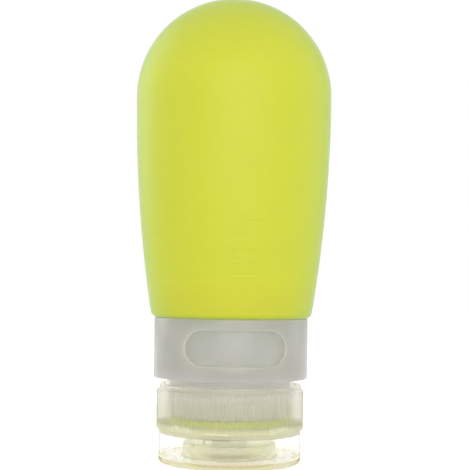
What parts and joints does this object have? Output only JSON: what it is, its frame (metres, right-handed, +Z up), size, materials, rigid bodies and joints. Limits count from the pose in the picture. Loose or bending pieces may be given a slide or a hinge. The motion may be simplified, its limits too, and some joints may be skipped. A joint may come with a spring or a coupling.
{
  "type": "travel squeeze bottle",
  "caption": "Soft round-ended silicone squeeze bottle with a rigid collar and window ring, a knurled screw cap with a slit valve, and a clear flip lid that it stands on.",
  "frame": {"origin": "centre of the lid's flat outer face, on which the bottle stands", "axes": "+Z up from the lid through the cap and collar to the round end of the bulb, -Y towards the side with the window"},
  "size_m": [0.0466, 0.0466, 0.11],
  "materials": {
    "green_silicone": "satin, translucent lime silicone",
    "frosted_plastic": "milky, semi-gloss moulded plastic",
    "ring_plastic": "milky moulded plastic, blank band",
    "natural_plastic": "undyed translucent plastic with a moulded grip",
    "clear_silicone": "satin, almost clear silicone",
    "clear_plastic": "clear, polished moulded plastic"
  },
  "bodies": {
    "bottle": {"squeeze_body": "green_silicone", "threaded_neck": "frosted_plastic", "collar": "frosted_plastic"},
    "contents_ring": {"label_ring": "ring_plastic"},
    "cap_carrier": {"no_drip_valve": "clear_silicone"},
    "cap": {"screw_cap": "natural_plastic", "valve_retainer": "natural_plastic"},
    "lid": {"flip_lid": "clear_plastic"}
  },
  "joints": [
    {"name": "contents_ring_turn", "type": "hinge", "parent": "bottle", "child": "contents_ring", "pos_m": [0, 0, 0.027], "axis": [0, 0, 1], "continuous": true},
    {"name": "cap_advance", "type": "slide", "parent": "bottle", "child": "cap_carrier", "axis": [0, 0, -1], "range_m": [0, 0.00945]},
    {"name": "cap_turn", "type": "hinge", "parent": "cap_carrier", "child": "cap", "pos_m": [0, 0, 0.008], "axis": [0, 0, -1], "range_deg": [0, 810]},
    {"name": "lid_hinge", "type": "hinge", "parent": "cap", "child": "lid", "pos_m": [0.00453, 0.01845, 0.00695], "axis": [0.9711, -0.2385, 0], "range_deg": [0, 150]}
  ],
  "couplings": [
    {"joint": "cap_advance", "follows": "cap_turn", "m_per_rad": 0.00066845}
  ]
}
